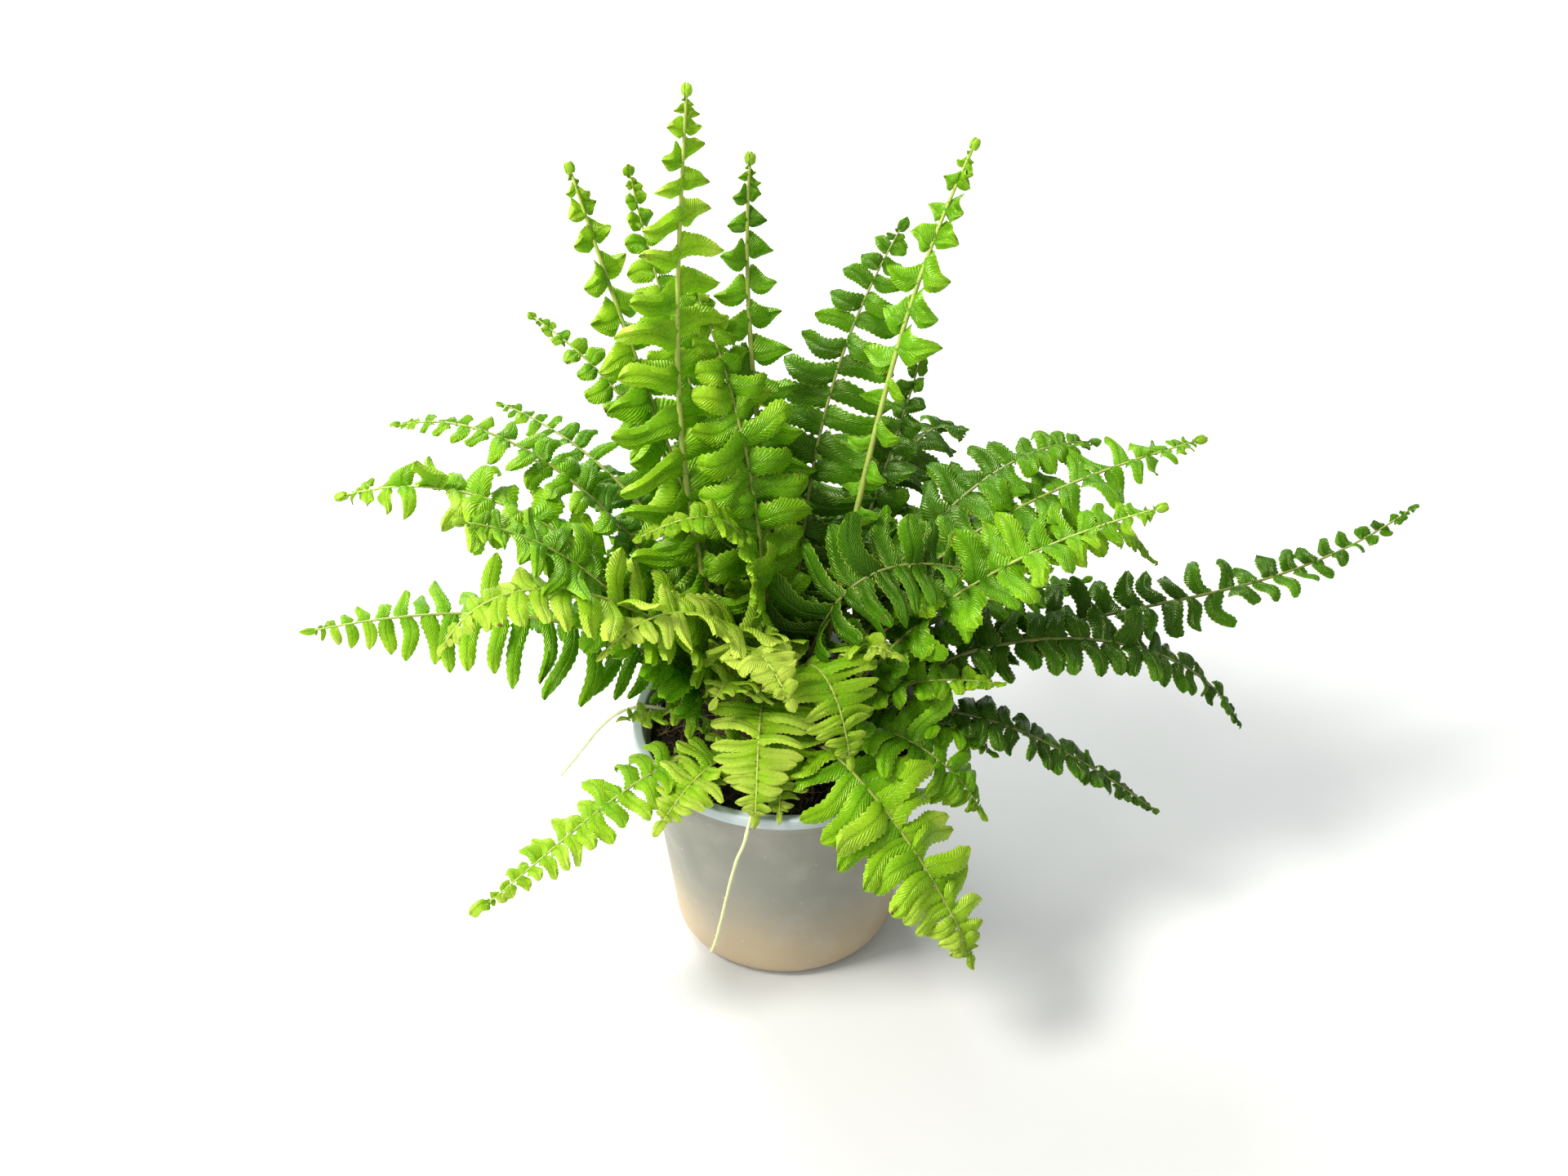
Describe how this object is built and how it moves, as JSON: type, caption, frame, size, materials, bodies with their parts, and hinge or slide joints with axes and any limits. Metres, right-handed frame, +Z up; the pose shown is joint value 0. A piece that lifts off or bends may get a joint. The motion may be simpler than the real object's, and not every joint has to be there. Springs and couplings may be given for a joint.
{
  "type": "potted fern",
  "caption": "Young sword fern with upright and arching pinnate fronds and trailing runners, growing in potting mix in a plain round plastic growers' pot.",
  "frame": {"origin": "middle of the pot's flat base, on the surface it stands on", "axes": "+Z up along the pot's axis, +X to the right and -Y towards the viewer, as the plant is seen from its front"},
  "size_m": [0.4301, 0.2617, 0.3375],
  "materials": {
    "pot_plastic": "satin",
    "potting_mix": "matte",
    "crown_scales": "matte",
    "runner_stem": "satin",
    "leaf_fresh": "satin",
    "leaf_green": "satin",
    "leaf_deep": "satin"
  },
  "bodies": {
    "root": {"back_frond_1": "leaf_deep", "back_frond_2": "leaf_deep", "back_frond_3": "leaf_deep", "back_frond_4": "leaf_deep", "back_frond_5": "leaf_deep", "back_frond_6": "leaf_deep", "back_frond_7": "leaf_deep", "centre_frond_1": "leaf_deep", "centre_frond_2": "leaf_green", "centre_frond_3": "leaf_green", "centre_frond_4": "leaf_green", "crown": "crown_scales", "front_frond_1": "leaf_fresh", "front_frond_2": "leaf_fresh", "front_frond_3": "leaf_fresh", "front_frond_4": "leaf_fresh", "front_frond_5": "leaf_fresh", "front_frond_6": "leaf_fresh", "front_frond_7": "leaf_fresh", "front_frond_8": "leaf_fresh", "front_runner": "runner_stem", "left_frond_1": "leaf_green", "left_frond_2": "leaf_green", "left_frond_3": "leaf_green", "left_frond_4": "leaf_fresh", "left_frond_5": "leaf_green", "left_frond_6": "leaf_green", "left_frond_7": "leaf_green", "left_runner": "runner_stem", "pot": "pot_plastic", "potting_mix": "potting_mix", "right_frond_1": "leaf_green", "right_frond_2": "leaf_green", "right_frond_3": "leaf_green", "right_frond_4": "leaf_deep", "right_frond_5": "leaf_green", "right_frond_6": "leaf_green", "right_frond_7": "leaf_green", "right_frond_8": "leaf_green", "small_frond_1": "leaf_fresh", "small_frond_2": "leaf_fresh", "small_frond_3": "leaf_fresh", "small_frond_4": "leaf_fresh", "small_frond_5": "leaf_fresh", "small_frond_6": "leaf_fresh", "small_frond_7": "leaf_fresh", "small_frond_8": "leaf_fresh", "upright_frond_1": "leaf_green", "upright_frond_2": "leaf_green", "upright_frond_3": "leaf_green", "upright_frond_4": "leaf_green", "upright_frond_5": "leaf_deep", "upright_frond_6": "leaf_green", "upright_frond_7": "leaf_green", "upright_frond_8": "leaf_green"}
  },
  "joints": []
}
